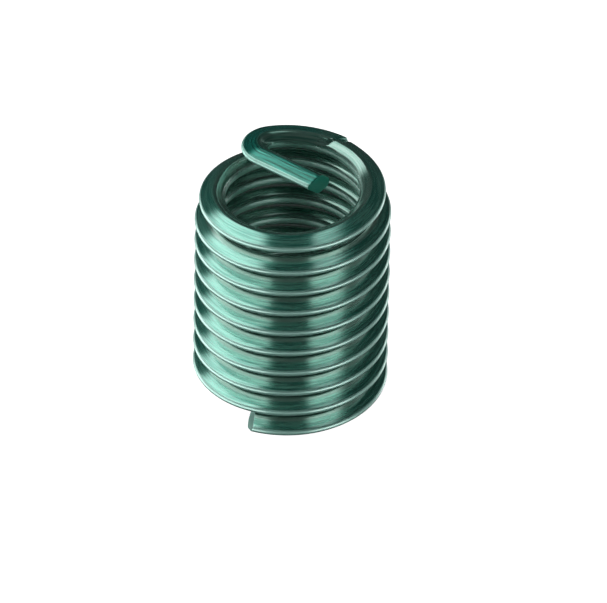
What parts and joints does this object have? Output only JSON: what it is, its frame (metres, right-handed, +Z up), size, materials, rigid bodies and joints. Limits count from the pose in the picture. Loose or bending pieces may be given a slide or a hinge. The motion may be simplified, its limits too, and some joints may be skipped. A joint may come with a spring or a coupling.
{
  "type": "helical wire thread insert",
  "caption": "Helical thread insert: open right-hand coil of green diamond-section wire, its last coil drawn in and bent across the bore as a straight driving tang with a break-off notch",
  "frame": {"origin": "on the coil axis, level with the lowest point of the wire", "axes": "+Z up the coil axis towards the tang, +X to the right and +Y away as the insert is seen with its tang lying left to right"},
  "size_m": [0.0078, 0.0078, 0.0107],
  "materials": {
    "green_wire": "bright cold-rolled stainless wire, dyed translucent green; fine draw lines along the wire, lighter on the crests"
  },
  "bodies": {
    "root": {"wire_coil": "green_wire"}
  },
  "joints": []
}
